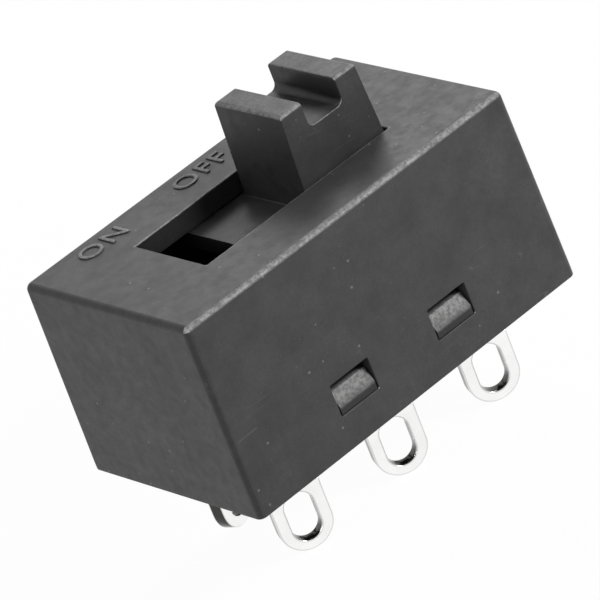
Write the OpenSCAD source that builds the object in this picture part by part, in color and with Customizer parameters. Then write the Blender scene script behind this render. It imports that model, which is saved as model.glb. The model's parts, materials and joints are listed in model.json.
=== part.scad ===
// Three-position slide switch with six solder lugs, in millimetres.
// It stands upright on the tips of its lugs. X runs along the housing, Y across it,
// and the slider is drawn at the +X end of its travel.

/* [Housing] */
// Length of the top of the housing
housing_length = 28; // [27:0.5:36]
// Width of the top of the housing
housing_width = 16.6; // [16.2:0.1:20]
// Height of the housing from its open rim to its top
housing_height = 14.1; // [13.6:0.1:18]
// How far each side leans outwards from the top down to the rim
draft = 0.25; // [0.05:0.05:0.4]
// Thickness of the side walls
wall = 1.2; // [0.9:0.1:1.3]
// Thickness of the top wall
top_wall = 1.5; // [1:0.1:2]
// Radius of the rounded outer edges
edge_radius = 0.5; // [0.2:0.1:0.7]

/* [Latch windows] */
// Distance between the middles of the two windows on a side
window_spacing = 8.7; // [6:0.1:14]
// Length of each window
window_length = 3.3; // [2.4:0.1:4.4]
// Height of each window
window_height = 2.3; // [1.8:0.1:2.6]
// Height of the sill of each window above the rim
window_sill = 2.35; // [1.6:0.05:2.6]
// How far each hook reaches out of the base
hook_reach = 1.45; // [1.1:0.05:1.5]
// Upright face at the foot of each hook
hook_land = 0.6; // [0.4:0.05:0.7]
// Rise of the sloping face of each hook
hook_ramp = 0.9; // [0.6:0.05:1]
// How far the sloping face of each hook runs inwards
hook_slope = 0.6; // [0.4:0.05:0.9]

/* [Slider] */
// Length of the knob at its foot
knob_length = 7.3; // [5:0.1:8]
// Width of the knob
knob_width = 6.7; // [5:0.1:7.5]
// Height of the knob above the housing
knob_height = 5.1; // [3:0.1:9]
// How much shorter the knob is at its top, at each end
knob_taper = 0.35; // [0:0.05:0.5]
// Radius of the rounded edges round the top of the knob
knob_round = 0.3; // [0.2:0.05:0.6]
// Width of the groove across the knob
groove_width = 2.95; // [2:0.05:3.6]
// Depth of the groove across the knob
groove_depth = 1.85; // [1:0.05:2.6]
// Radius in the two lower corners of the groove
groove_radius = 0.5; // [0.2:0.05:0.8]
// Thickness of the plate that closes the slot from below
plate_thickness = 1.2; // [0.8:0.1:1.6]
// Room between the knob and each end of the slot
slot_end_gap = 0.1; // [0.1:0.05:0.5]
// Room between the knob and each long side of the slot
slot_side_gap = 0.25; // [0.15:0.05:0.5]

/* [Terminals] */
// Distance between neighbouring terminals, which is also the travel of the slider
pitch = 8.6; // [8:0.1:9]
// Distance between the two rows of lugs
row_spacing = 7.5; // [7:0.1:8.2]
// Width of each lug
lug_width = 3.7; // [3.4:0.1:4.4]
// Thickness of the terminal metal
lug_thickness = 0.9; // [0.6:0.1:1]
// Angle by which each lug is twisted below its boss, which locks it in the base
lug_twist = 22; // [0:1:28]
// How far the lugs reach below the rim
lug_drop = 6.9; // [6.4:0.1:10]
// Width of the wire hole in each lug
hole_width = 2; // [1.6:0.1:2.4]
// Length of the wire hole in each lug
hole_length = 3.5; // [2.8:0.1:3.5]
// Metal left between the wire hole and the tip of the lug
hole_margin = 0.7; // [0.5:0.05:0.8]
// Diameter of the head of each contact stud
stud_diameter = 1.6; // [1.2:0.1:1.6]
// Height of the head of each contact stud
stud_height = 0.4; // [0.3:0.05:0.6]
// Diameter of the shank of each contact stud
stud_shank = 0.9; // [0.6:0.05:1.1]

/* [Base] */
// Thickness of the floor of the base
base_floor = 2.9; // [2.4:0.1:3.2]
// Height of the underside of the base above the rim
base_recess = 0.3; // [0.1:0.05:0.5]
// Thickness of the upright walls of the base
base_wall = 0.9; // [0.8:0.05:1]
// How far the boss around each lug reaches below the rim
boss_drop = 1.5; // [1:0.1:1.8]
// Plastic around each lug in its boss
boss_margin = 0.3; // [0.2:0.05:0.45]

/* [Contacts and springs] */
// Width of each moving contact
strip_width = 2; // [1.8:0.1:2.2]
// Thickness of each moving contact
strip_thickness = 0.5; // [0.3:0.05:0.6]
// Metal beyond the middle of each dimple of a moving contact
strip_end = 1.2; // [1:0.1:1.6]
// Radius of the ball end that presses each dimple
dimple_radius = 0.9; // [0.8:0.05:0.95]
// How far each dimple stands out of its strip
dimple_depth = 0.55; // [0.4:0.05:0.7]
// Outer diameter of the contact springs
spring_diameter = 2.6; // [2.2:0.1:2.8]
// Diameter of the wire of the contact springs
spring_wire = 0.35; // [0.25:0.05:0.4]
// Number of turns of the contact springs
spring_turns = 6; // [5:1:7]
// Diameter of the detent ball
ball_diameter = 2.4; // [2:0.1:2.6]
// Depth of each detent notch
detent_depth = 0.35; // [0.2:0.05:0.5]
// Diameter of the wire of the detent spring
detent_wire = 0.3; // [0.2:0.05:0.35]

/* [Hidden] */

// Clearances: a snug fit between fixed pieces, a running fit between moving ones
snug = 0.05;
running = 0.1;
contact_gap = 0.05;
shutter_stop_gap = 0.2;
side_guide_gap = 0.15;
twist_overlap = 0.5;
overcut = 1;

// Smoothness of true curves and of rounded hulls
curve_faces = 48;
round_faces = 32;

// Signs of the two rows and of the three places along a row
near = -1;
far = 1;
left = -1;
middle = 0;
right = 1;

// Heights, counted from the tips of the lugs
rim_z = lug_drop;
top_z = rim_z + housing_height;
ceiling_z = top_z - top_wall;
knob_top_z = top_z + knob_height;
plate_top_z = ceiling_z - running;
plate_bottom_z = plate_top_z - plate_thickness;
sill_z = rim_z + window_sill;
base_bottom_z = rim_z + base_recess;
boss_bottom_z = rim_z - boss_drop;
floor_z = base_bottom_z + base_floor;
pad_top_z = floor_z + lug_thickness;
stud_top_z = pad_top_z + stud_height;
strip_bottom_z = stud_top_z + contact_gap + dimple_depth;
strip_top_z = strip_bottom_z + strip_thickness;
tray_top_z = strip_bottom_z - 2 * running;

// Plan of the housing and the base
cavity_x = housing_length / 2 - wall;
cavity_y = housing_width / 2 - wall;
base_x = cavity_x - running;
base_y = cavity_y - running;
tray_x = base_x - base_wall;
tray_y = base_y - base_wall;
hook_length = window_length - 4 * snug;

// Slider and slot
slider_x = pitch / 2;
slot_x = pitch / 2 + knob_length / 2 + slot_end_gap;
slot_y = knob_width / 2 + slot_side_gap;
plate_x = cavity_x - pitch / 2 - shutter_stop_gap;
plate_y = cavity_y - side_guide_gap;

// Terminals: the blade stands in the row, its pad is bent outwards to the base wall,
// and its head is twisted just below the boss
row_y = row_spacing / 2;
head_top_z = boss_bottom_z - running;
blade_bottom_z = head_top_z - twist_overlap;
bend_y = row_y + lug_thickness / 2;
pad_end_y = tray_y - running;
contact_y = pad_end_y - stud_diameter / 2 - snug;
stud_dome = 3;

// Contact carriers of the slider
strip_length = pitch + 2 * strip_end;
nest_wall = 0.6;
nest_room = 0.4;
carrier_x = strip_length / 2 + running + nest_wall;
carrier_y = strip_width / 2 + running + nest_wall;
spring_cover = 0.6;
spring_roof_z = plate_bottom_z - spring_cover;
spring_bore = spring_diameter / 2 + running;
spigot_radius = spring_diameter / 2 - spring_wire - running;
spigot_height = 0.7;

// Detent: the ball runs level over a rib with a notch for each position
ball_radius = ball_diameter / 2;
rib_top_z = stud_top_z;
ball_z = rib_top_z + contact_gap + ball_radius;
ball_bore = ball_radius + snug;
ball_cover = 0.6;
block_x = ball_bore + ball_cover;
rib_width = 1.6;
rib_x = pitch / 2 + ball_radius + ball_cover;
detent_spring_radius = ball_radius - 2 * snug;
detent_mean_radius = detent_spring_radius - detent_wire / 2;
detent_seat_rise = sqrt(pow(ball_radius + detent_wire / 2, 2) - pow(detent_mean_radius, 2));
detent_seat_z = ball_z + detent_seat_rise - detent_wire / 2 + snug / 2;
notch_radius = ball_radius + 2 * snug;

// A box centred on X and Y that stands on z
module block(size_x, size_y, z_low, z_high) {
    translate([-size_x / 2, -size_y / 2, z_low])
        cube([size_x, size_y, z_high - z_low]);
}

// ---- Housing ----

module housing_outside() {
    corner_x = housing_length / 2 - edge_radius;
    corner_y = housing_width / 2 - edge_radius;
    hull()
        for (sx = [-1, 1], sy = [-1, 1]) {
            translate([sx * corner_x, sy * corner_y, top_z - edge_radius])
                sphere(r = edge_radius, $fn = round_faces);
            translate([sx * (corner_x + draft), sy * (corner_y + draft), rim_z])
                cylinder(r = edge_radius, h = edge_radius, $fn = round_faces);
        }
}

module latch_windows() {
    for (sx = [-1, 1])
        translate([sx * window_spacing / 2, 0, 0])
            block(window_length, 2 * housing_width, sill_z, sill_z + window_height);
}

module housing() {
    color("#2b2b2d")
        difference() {
            housing_outside();
            block(2 * cavity_x, 2 * cavity_y, rim_z - overcut, ceiling_z);
            block(2 * slot_x, 2 * slot_y, ceiling_z - overcut, top_z + overcut);
            latch_windows();
        }
}

// ---- Base ----

// Sloping catch that snaps into a window, on the +Y side
module hook() {
    foot_z = sill_z + snug;
    tip_y = base_y + hook_reach;
    root_y = base_y - base_wall / 2;
    ramp_z = foot_z + hook_land;
    translate([-hook_length / 2, 0, 0])
        rotate([90, 0, 90])
            linear_extrude(height = hook_length)
                polygon([
                    [root_y, foot_z], [tip_y, foot_z], [tip_y, ramp_z],
                    [tip_y - hook_slope, ramp_z + hook_ramp], [root_y, ramp_z + hook_ramp]
                ]);
}

module base_tray() {
    difference() {
        block(2 * base_x, 2 * base_y, base_bottom_z, tray_top_z);
        block(2 * tray_x, 2 * tray_y, floor_z, tray_top_z + overcut);
    }
}

module lug_boss(x, side) {
    translate([x, side * row_y, 0])
        block(
            lug_width + 2 * boss_margin, lug_thickness + 2 * boss_margin,
            boss_bottom_z, floor_z
        );
}

// Level rail that carries the dimples from one stud to the next
module contact_rail(x, side) {
    rail_length = pitch - lug_width - 2 * running;
    translate([x, side * contact_y, 0])
        block(rail_length, stud_diameter, floor_z - snug, stud_top_z);
}

module detent_rib() {
    difference() {
        block(2 * rib_x, rib_width, floor_z - snug, rib_top_z);
        for (place = [left, middle, right])
            translate([place * pitch / 2, rib_width, ball_z - detent_depth])
                rotate([90, 0, 0])
                    cylinder(r = notch_radius, h = 2 * rib_width, $fn = curve_faces);
    }
}

module base() {
    color("#323234")
        difference() {
            union() {
                base_tray();
                detent_rib();
                for (sx = [-1, 1], side = [near, far])
                    translate([sx * window_spacing / 2, 0, 0])
                        mirror([0, side == near ? 1 : 0, 0])
                            hook();
                for (place = [left, middle, right], side = [near, far])
                    lug_boss(place * pitch, side);
                for (sx = [-1, 1], side = [near, far])
                    contact_rail(sx * pitch / 2, side);
            }
            for (place = [left, middle, right], side = [near, far])
                translate([place * pitch, side * row_y, 0])
                    block(
                        lug_width + 2 * snug, lug_thickness + 2 * snug,
                        boss_bottom_z - overcut, floor_z + overcut
                    );
        }
}

// ---- Terminals and studs ----

// Flat outline of the head of a lug: a round tip at 0 and a long wire hole
module lug_outline() {
    tip_radius = lug_width / 2;
    hole_radius = hole_width / 2;
    hole_low = hole_margin + hole_radius;
    hole_high = hole_margin + hole_length - hole_radius;
    difference() {
        union() {
            translate([0, tip_radius])
                circle(r = tip_radius, $fn = curve_faces);
            translate([-tip_radius, tip_radius])
                square([lug_width, head_top_z - tip_radius]);
        }
        translate([0, hole_low])
            circle(r = hole_radius, $fn = curve_faces);
        translate([0, hole_high])
            circle(r = hole_radius, $fn = curve_faces);
        translate([-hole_radius, hole_low])
            square([hole_width, hole_high - hole_low]);
    }
}

// Head of a lug, upright and centred on the Z axis
module lug_head() {
    translate([0, lug_thickness / 2, 0])
        rotate([90, 0, 0])
            linear_extrude(height = lug_thickness)
                lug_outline();
}

// Outward bend from the blade to its pad, on the +Y side
module pad_bend() {
    intersection() {
        translate([-lug_width / 2, bend_y, floor_z])
            rotate([0, 90, 0])
                cylinder(r = lug_thickness, h = lug_width, $fn = curve_faces);
        translate([-lug_width, bend_y - lug_thickness, floor_z])
            cube([2 * lug_width, lug_thickness, lug_thickness]);
    }
}

module terminal(place, side) {
    color("#d9dadb")
        translate([place * pitch, 0, 0])
            mirror([0, side == near ? 1 : 0, 0])
                difference() {
                    union() {
                        translate([0, row_y, 0]) {
                            rotate([0, 0, lug_twist])
                                lug_head();
                            block(lug_width, lug_thickness, blade_bottom_z, floor_z);
                        }
                        pad_bend();
                        translate([-lug_width / 2, bend_y, floor_z])
                            cube([lug_width, pad_end_y - bend_y, lug_thickness]);
                    }
                    translate([0, contact_y, floor_z - snug])
                        cylinder(d = stud_shank, h = lug_thickness + overcut, $fn = curve_faces);
                }
}

module stud(place, side) {
    color("#c9ccd0")
        translate([place * pitch, side * contact_y, 0]) {
            translate([0, 0, floor_z])
                cylinder(d = stud_shank, h = lug_thickness + snug, $fn = curve_faces);
            intersection() {
                translate([0, 0, pad_top_z])
                    cylinder(d = stud_diameter, h = stud_height, $fn = curve_faces);
                translate([0, 0, stud_top_z - stud_dome])
                    sphere(r = stud_dome, $fn = curve_faces);
            }
        }
}

// ---- Springs ----

// Round wire wound into a coil with a closed turn at each end.
// The wire runs from z_low to z_high around the Z axis.
module coil_spring(outer_radius, wire, turns, z_low, z_high) {
    steps = 14;
    sides = 8;
    closed_pitch = 1.12 * wire;
    rise = z_high - z_low - wire;
    open_pitch = (rise - 2 * closed_pitch) / (turns - 2);
    rings = turns * steps;
    mean_radius = outer_radius - wire / 2;
    function lift(t) =
        t < 1 ? closed_pitch * t :
        t < turns - 1 ? closed_pitch + open_pitch * (t - 1) :
        rise - closed_pitch * (turns - t);
    points = [
        for (i = [0 : rings], j = [0 : sides - 1])
            let (t = i / steps, a = 360 * t, b = 360 * j / sides)
            let (r = mean_radius + wire / 2 * cos(b))
            [r * cos(a), r * sin(a), z_low + wire / 2 + lift(t) + wire / 2 * sin(b)]
    ];
    walls = [
        for (i = [0 : rings - 1], j = [0 : sides - 1])
            let (k = (j + 1) % sides)
            [i * sides + j, i * sides + k, (i + 1) * sides + k, (i + 1) * sides + j]
    ];
    start_cap = [for (j = [sides - 1 : -1 : 0]) j];
    end_cap = [for (j = [0 : sides - 1]) rings * sides + j];
    polyhedron(points = points, faces = concat(walls, [start_cap, end_cap]), convexity = 10);
}

module contact_spring(side) {
    color("#b4b6b8")
        translate([slider_x, side * contact_y, 0])
            coil_spring(
                spring_diameter / 2, spring_wire, spring_turns,
                strip_top_z, spring_roof_z
            );
}

module detent_spring() {
    color("#b4b6b8")
        translate([slider_x, 0, 0])
            coil_spring(
                detent_spring_radius, detent_wire, spring_turns,
                detent_seat_z, spring_roof_z
            );
}

module detent_ball() {
    color("#c4c6c8")
        translate([slider_x, 0, ball_z])
            sphere(r = ball_radius, $fn = curve_faces);
}

// ---- Moving contacts ----

module moving_contact(side) {
    straight = strip_length - strip_width;
    dimple_z = strip_bottom_z - dimple_depth + dimple_radius;
    color("#c8a878")
        translate([slider_x, side * contact_y, 0])
            difference() {
                union() {
                    block(straight, strip_width, strip_bottom_z, strip_top_z);
                    for (sx = [-1, 1]) {
                        translate([sx * straight / 2, 0, strip_bottom_z])
                            cylinder(d = strip_width, h = strip_thickness, $fn = curve_faces);
                        intersection() {
                            translate([sx * pitch / 2, 0, dimple_z])
                                sphere(r = dimple_radius, $fn = curve_faces);
                            translate([sx * pitch / 2, 0, 0])
                                block(
                                    strip_width, strip_width,
                                    strip_bottom_z - dimple_radius, strip_top_z
                                );
                        }
                    }
                    translate([0, 0, strip_top_z - snug])
                        cylinder(r = spigot_radius, h = spigot_height + snug, $fn = curve_faces);
                }
                for (sx = [-1, 1])
                    translate([sx * pitch / 2, 0, dimple_z])
                        sphere(r = dimple_radius / 2, $fn = curve_faces);
            }
}

// ---- Slider ----

// Forked knob, centred on the slider, with rounded edges round its top
module knob() {
    difference() {
        intersection() {
            translate([0, knob_width / 2, 0])
                rotate([90, 0, 0])
                    linear_extrude(height = knob_width)
                        knob_outline(knob_length / 2, knob_taper);
            translate([-knob_length / 2, 0, 0])
                rotate([90, 0, 90])
                    linear_extrude(height = knob_length)
                        knob_outline(knob_width / 2, 0);
        }
        translate([0, knob_width, 0])
            rotate([90, 0, 0])
                linear_extrude(height = 2 * knob_width)
                    groove_outline();
    }
}

// Outline of the knob seen from one side, with two rounded upper corners
module knob_outline(half, taper) {
    hull() {
        for (side = [-1, 1])
            translate([side * (half - taper - knob_round), knob_top_z - knob_round])
                circle(r = knob_round, $fn = curve_faces);
        translate([-half, plate_bottom_z])
            square([2 * half, plate_thickness]);
    }
}

// Cross-section of the groove, with rounded lower corners
module groove_outline() {
    half = groove_width / 2;
    bottom = knob_top_z - groove_depth;
    translate([-half, bottom + groove_radius])
        square([groove_width, groove_depth + overcut]);
    translate([groove_radius - half, bottom])
        square([groove_width - 2 * groove_radius, groove_depth]);
    for (sx = [-1, 1])
        translate([sx * (half - groove_radius), bottom + groove_radius])
            circle(r = groove_radius, $fn = curve_faces);
}

// Block under the plate that carries one moving contact and its spring
module carrier(side) {
    translate([0, side * contact_y, 0])
        block(2 * carrier_x, 2 * carrier_y, strip_bottom_z, plate_bottom_z + snug);
}

module carrier_hollows(side) {
    nest_top_z = strip_top_z + nest_room;
    translate([0, side * contact_y, 0]) {
        block(
            strip_length + 2 * running, strip_width + 2 * running,
            strip_bottom_z - overcut, nest_top_z
        );
        translate([0, 0, strip_bottom_z])
            cylinder(r = spring_bore, h = spring_roof_z - strip_bottom_z, $fn = curve_faces);
    }
}

module slider() {
    color("#29292b")
        translate([slider_x, 0, 0])
            difference() {
                union() {
                    block(2 * plate_x, 2 * plate_y, plate_bottom_z, plate_top_z);
                    knob();
                    block(2 * block_x, 2 * contact_y, strip_bottom_z, plate_bottom_z + snug);
                    carrier(near);
                    carrier(far);
                }
                carrier_hollows(near);
                carrier_hollows(far);
                translate([0, 0, strip_bottom_z - overcut])
                    cylinder(
                        r = ball_bore, h = spring_roof_z - strip_bottom_z + overcut,
                        $fn = curve_faces
                    );
            }
}

housing();
base();
slider();
terminal(left, near);  // terminal_near_left
terminal(middle, near);  // terminal_near_middle
terminal(right, near);  // terminal_near_right
terminal(left, far);  // terminal_far_left
terminal(middle, far);  // terminal_far_middle
terminal(right, far);  // terminal_far_right
stud(left, near);  // stud_near_left
stud(middle, near);  // stud_near_middle
stud(right, near);  // stud_near_right
stud(left, far);  // stud_far_left
stud(middle, far);  // stud_far_middle
stud(right, far);  // stud_far_right
moving_contact(near);  // moving_contact_near
moving_contact(far);  // moving_contact_far
contact_spring(near);  // contact_spring_near
contact_spring(far);  // contact_spring_far
detent_ball();
detent_spring();
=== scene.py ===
"""Slide switch with a forked knob, a snap-in base and six solder lugs, dressed for rendering.

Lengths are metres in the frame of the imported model: X runs along the housing, Y across
it, and Z goes up from the tips of the lugs.
"""

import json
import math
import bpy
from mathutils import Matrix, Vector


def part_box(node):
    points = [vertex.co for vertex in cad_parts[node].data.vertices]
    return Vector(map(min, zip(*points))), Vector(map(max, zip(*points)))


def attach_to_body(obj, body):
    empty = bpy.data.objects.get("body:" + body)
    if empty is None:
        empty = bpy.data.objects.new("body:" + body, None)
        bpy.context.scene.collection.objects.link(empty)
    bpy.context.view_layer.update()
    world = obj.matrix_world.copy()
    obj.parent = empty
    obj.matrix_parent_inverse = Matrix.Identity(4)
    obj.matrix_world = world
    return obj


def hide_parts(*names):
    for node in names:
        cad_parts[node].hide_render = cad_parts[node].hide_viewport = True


bl_info = {
    "name": "Slide Switch",
    "version": (1, 0, 0),
    "blender": (4, 5, 0),
    "location": "View3D > Sidebar > Slide Switch",
    "description": "Builds the pieces, the finishes and the stage of a slide switch",
    "category": "Add Mesh",
}

import bmesh
import bpy
from bpy.props import FloatProperty, FloatVectorProperty, IntProperty, PointerProperty, StringProperty
from mathutils import Euler, Matrix, Vector
from mathutils.geometry import delaunay_2d_cdt

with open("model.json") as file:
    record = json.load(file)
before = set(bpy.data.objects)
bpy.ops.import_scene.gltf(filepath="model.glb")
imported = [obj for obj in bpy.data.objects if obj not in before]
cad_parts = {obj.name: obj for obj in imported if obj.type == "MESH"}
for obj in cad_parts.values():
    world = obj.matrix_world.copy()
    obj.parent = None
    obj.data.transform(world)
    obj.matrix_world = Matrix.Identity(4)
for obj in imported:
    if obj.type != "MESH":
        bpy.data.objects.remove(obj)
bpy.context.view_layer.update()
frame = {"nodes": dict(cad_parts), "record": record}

CASE = "case"
SLIDER_UNIT = "slider_unit"
ROWS = {"near": -1, "far": 1}
PLACES = ("left", "middle", "right")

HOUSING_LOW, HOUSING_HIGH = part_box("housing")
STUD_LOW, STUD_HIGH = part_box("stud_far_middle")
LUG_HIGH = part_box("terminal_far_middle")[1]
KNOB_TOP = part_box("slider")[1].z
RIM_HEIGHT = HOUSING_LOW.z
TOP_HEIGHT = HOUSING_HIGH.z
MOUNTS = {mount["name"]: mount for mount in frame["record"]["mounts"]}
LUG_ROW = MOUNTS["wire_hole_far_middle"]["pos_m"][1]

# Sizes that the boxes of the nodes don't give.
SLOT_HALF_LENGTH = 0.00805
SLOT_HALF_WIDTH = 0.0036
HOOK_RAMP_FOOT = 0.0078

# Tolerances of the mesh work.
WELD = 0.000001
SAME_PLANE = math.radians(0.6)
MOULDED_CORNER = math.radians(35)
STAMPED_CORNER = math.radians(40)
LETTER_CORNER = math.radians(40)
FLAT_FACE_WEIGHT = 60

# Reach of the underside and of the dome's rim of a stud, as shares of the head's radius.
UNDER_HEAD = 0.96
DOME_RIM = 0.95

# Shares of the legend's own sizes.
CAPITAL_HEIGHT = 0.72
LETTER_SPACING = 1.15
LETTER_BEVEL = 0.3
LETTER_THINNING = 0.15

# Features per metre of the patterns in the finishes.
CLOUDS = 330
GRAIN = 5200
EDGE_WEAR = 900
CRUMBS = 3600
GLOSS_PATCHES = 1400
WAVES = 700
SPECK_PATCHES = 260
SCRATCH_PATCHES = 420
STAINS = 520
METAL_GLOSS_PATCHES = 1100

# Most values of a noise lie between these two.
NOISE_LOW = 0.3
NOISE_HIGH = 0.7


# ---- Settings ----


def number(name, description, default, **kind):
    """A number property of some kind."""
    return FloatProperty(name=name, description=description, default=default, **kind)


def length(name, description, default):
    """A length property in metres."""
    return number(name, description, default, min=0.0, precision=5, unit="LENGTH")


def power(name, description, default):
    """The power of a lamp in watts."""
    return number(name, description, default, min=0.0, precision=3, unit="POWER")


def share(name, description, default):
    """A property that runs from 0 to 1."""
    return number(name, description, default, min=0.0, max=1.0, subtype="FACTOR")


def angle(name, description, degrees):
    """An angle property, given in degrees and kept in radians."""
    return number(name, description, math.radians(degrees), subtype="ANGLE", unit="ROTATION")


def count(name, description, default, smallest):
    """A whole-number property."""
    return IntProperty(name=name, description=description, default=default, min=smallest)


def colour(name, description, default):
    """A linear colour property."""
    return FloatVectorProperty(
        name=name, description=description, default=default, size=3, min=0.0, max=1.0, subtype="COLOR"
    )


class MouldingSizes(bpy.types.PropertyGroup):
    """Edges of the three plastic mouldings and the legend on the housing."""

    housing_edge: length("Housing edge", "Rounding of the cut edges of the housing", 0.00008)
    base_edge: length("Base edge", "Rounding of the edges of the base", 0.00005)
    slider_edge: length("Slider edge", "Rounding of the edges of the groove and the slider", 0.00015)
    edge_steps: count("Edge steps", "Facets across each rounded edge of the housing and slider", 3, 1)
    base_steps: count("Base edge steps", "Facets across each rounded edge of the base", 2, 1)
    legend_left: StringProperty(name="Left word", description="Word beside the left end", default="ON")
    legend_middle: StringProperty(name="Middle word", description="Word beside the middle", default="OFF")
    legend_right: StringProperty(name="Right word", description="Word beside the right end", default="ON")
    legend_height: length("Legend height", "Height of the raised letters", 0.00165)
    legend_relief: length("Legend relief", "The letters stand out by four fifths of this", 0.00014)
    legend_spacing: length("Legend spacing", "Distance between neighbouring words", 0.0086)
    legend_margin: length("Legend margin", "Distance from the words to the far edge", 0.0023)


class TerminalSizes(bpy.types.PropertyGroup):
    """Stamping of the six terminals."""

    width: length("Width", "Width of each lug", 0.0037)
    thickness: length("Thickness", "Thickness of the terminal metal", 0.0009)
    twist: angle("Twist", "Turn of each lug's head, which locks it in the base", 22.0)
    twist_start: length("Twist start", "Height at which a lug is turned fully", 0.004)
    twist_end: length("Twist end", "Height above which a lug is not turned", 0.0053)
    hole_width: length("Hole width", "Width of the wire hole", 0.002)
    hole_length: length("Hole length", "Length of the wire hole", 0.0035)
    hole_margin: length("Hole margin", "Metal between the wire hole and the tip", 0.0007)
    shank_hole: length("Shank hole", "Diameter of the hole for the stud", 0.0009)
    bend_radius: length("Bend radius", "Inner radius of the bend from blade to pad", 0.00012)
    die_roll: length("Die roll", "Rounding of the edges on the outward face", 0.00011)
    burr_edge: length("Burr edge", "Rounding of the edges on the inward face", 0.00005)
    arc_steps: count("Arc steps", "Points round half a lug tip", 40, 8)
    twist_steps: count("Twist steps", "Facets along the twist", 16, 2)
    bend_steps: count("Bend steps", "Facets round the bend", 10, 2)
    edge_steps: count("Edge steps", "Facets across each rounded edge", 4, 1)


class StudSizes(bpy.types.PropertyGroup):
    """Riveted contact studs."""

    head_diameter: length("Head diameter", "Diameter of the head", 0.0016)
    shank_diameter: length("Shank diameter", "Diameter of the shank", 0.0009)
    head_height: length("Head height", "Height of the head above the pad", 0.0004)
    dome_radius: length("Dome radius", "Radius of the top of the head", 0.003)
    sides: count("Sides", "Facets round each stud", 48, 12)


class SpringSizes(bpy.types.PropertyGroup):
    """Coil springs."""

    contact_wire: length("Contact wire", "Diameter of the wire of the contact springs", 0.00035)
    detent_wire: length("Detent wire", "Diameter of the wire of the detent spring", 0.0003)
    turns: count("Turns", "Turns of each spring", 6, 3)
    steps: count("Steps", "Rings of vertices in each turn", 40, 8)
    wire_sides: count("Wire sides", "Facets round the wire", 14, 6)
    closed_pitch: share("Closed pitch", "Rise of an end turn beyond the wire's own diameter", 0.12)


class Finishes(bpy.types.PropertyGroup):
    """Colours, wear, and painted highlights and shade of the materials."""

    housing: colour("Housing", "Black plastic of the housing", (0.095, 0.095, 0.096))
    base: colour("Base", "Dark grey plastic of the base", (0.12, 0.12, 0.121))
    slider: colour("Slider", "Black plastic of the slider", (0.083, 0.083, 0.084))
    speck: colour("Speck", "Dust and pale specks in the plastic", (0.42, 0.42, 0.41))
    # Pale colour of the painted highlights and of the worn prong tips.
    rubbed_and_highlight: colour("Rubbed", "Plastic whose gloss was rubbed off", (0.95, 0.95, 0.94))
    plating: colour("Plating", "Bright tin on the terminals", (0.95, 0.95, 0.945))
    sheared_edge_and_dark_reflection: colour("Sheared edge", "Darker metal at the edges of the stamping", (0.055, 0.054, 0.052))
    # Sheared metal, darkened into painted dark reflection on the walls of the holes and the edges.
    silver: colour("Silver", "Contact studs", (0.9, 0.89, 0.87))
    bronze: colour("Bronze", "Moving contacts", (0.78, 0.5, 0.3))
    spring_steel: colour("Spring steel", "Wire of the springs", (0.6, 0.6, 0.61))
    ball_steel: colour("Ball steel", "Detent ball", (0.78, 0.78, 0.79))
    mottling: share("Mottling", "Strength of the cloudy variation of the plastic", 0.29)
    wear: share("Wear", "Paleness of the plastic along its edges", 0.12)
    # Strength of the painted highlights and of the pale wear on the prong tips.
    scuffing_and_highlights: share("Scuffing", "Paleness of the plastic where other parts rub it", 0.8)
    # Darkness of the painted shade.
    edge_shade: share("Edge shade", "Darkness of the rounded edges and of faces in recesses", 0.68)


class StageSettings(bpy.types.PropertyGroup):
    """Camera, lamps and floor."""

    azimuth: angle("Azimuth", "Turn of the camera round the switch", -31.577)
    elevation: angle("Elevation", "Height of the camera above the horizon", 27.183)
    roll: angle("Roll", "Turn of the camera about its line of sight", -21.795)
    distance: length("Distance", "From the camera to the aim point", 0.362475)
    lens: number("Lens", "Focal length in millimetres", 343.0, min=1.0, unit="CAMERA")
    aim: FloatVectorProperty(
        name="Aim", description="Point that the camera looks at", default=(-0.000442, 0.000078, 0.012679),
        size=3, precision=6, unit="LENGTH", subtype="TRANSLATION",
    )
    key_power: power("Key power", "Power of the lamp behind", 0.116)
    fill_power: power("Fill power", "Power of the lamp in front", 0.38)
    side_power: power("Side power", "Power of the lamp beside it", 0.13)
    sky: share("Sky", "Brightness of the surroundings as a light", 0.01)
    floor_bounce: share("Floor bounce", "Lightness of the floor as it lights the switch from below", 0.88)
    floor_white: share("Floor white", "Share of the floor that stays pure white in shade", 0.93)


class SlideSwitchSettings(bpy.types.PropertyGroup):
    """All settings of the slide switch."""

    moulding: PointerProperty(type=MouldingSizes)
    terminal: PointerProperty(type=TerminalSizes)
    stud: PointerProperty(type=StudSizes)
    spring: PointerProperty(type=SpringSizes)
    finish: PointerProperty(type=Finishes)
    stage: PointerProperty(type=StageSettings)


def settings():
    """The settings of the slide switch in the current scene."""
    return bpy.context.scene.slide_switch


# ---- Node trees ----


def add(tree, kind, inputs=None, **values):
    """Adds a node, sets its values, and links or fills its inputs."""
    node = tree.nodes.new(kind)
    for key, value in values.items():
        setattr(node, key, value)
    for key, value in (inputs or {}).items():
        if isinstance(value, bpy.types.NodeSocket):
            tree.links.new(value, node.inputs[key])
        else:
            node.inputs[key].default_value = value
    return node


def maths(tree, operation, first, second=None, third=None):
    """The result of one Math node, for a shader or a geometry tree."""
    values = {0: first}
    if second is not None:
        values[1] = second
    if third is not None:
        values[2] = third
    return add(tree, "ShaderNodeMath", values, operation=operation).outputs[0]


def times(tree, first, *others):
    """The product of some values."""
    for value in others:
        first = maths(tree, "MULTIPLY", first, value)
    return first


def largest(tree, first, *others):
    """The largest of some values."""
    for value in others:
        first = maths(tree, "MAXIMUM", first, value)
    return first


def remap(tree, value, low, high, to_low=0.0, to_high=1.0):
    """value run from low..high to to_low..to_high, and clamped."""
    inputs = {"Value": value, "From Min": low, "From Max": high, "To Min": to_low, "To Max": to_high}
    return add(tree, "ShaderNodeMapRange", inputs, clamp=True).outputs["Result"]


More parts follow.
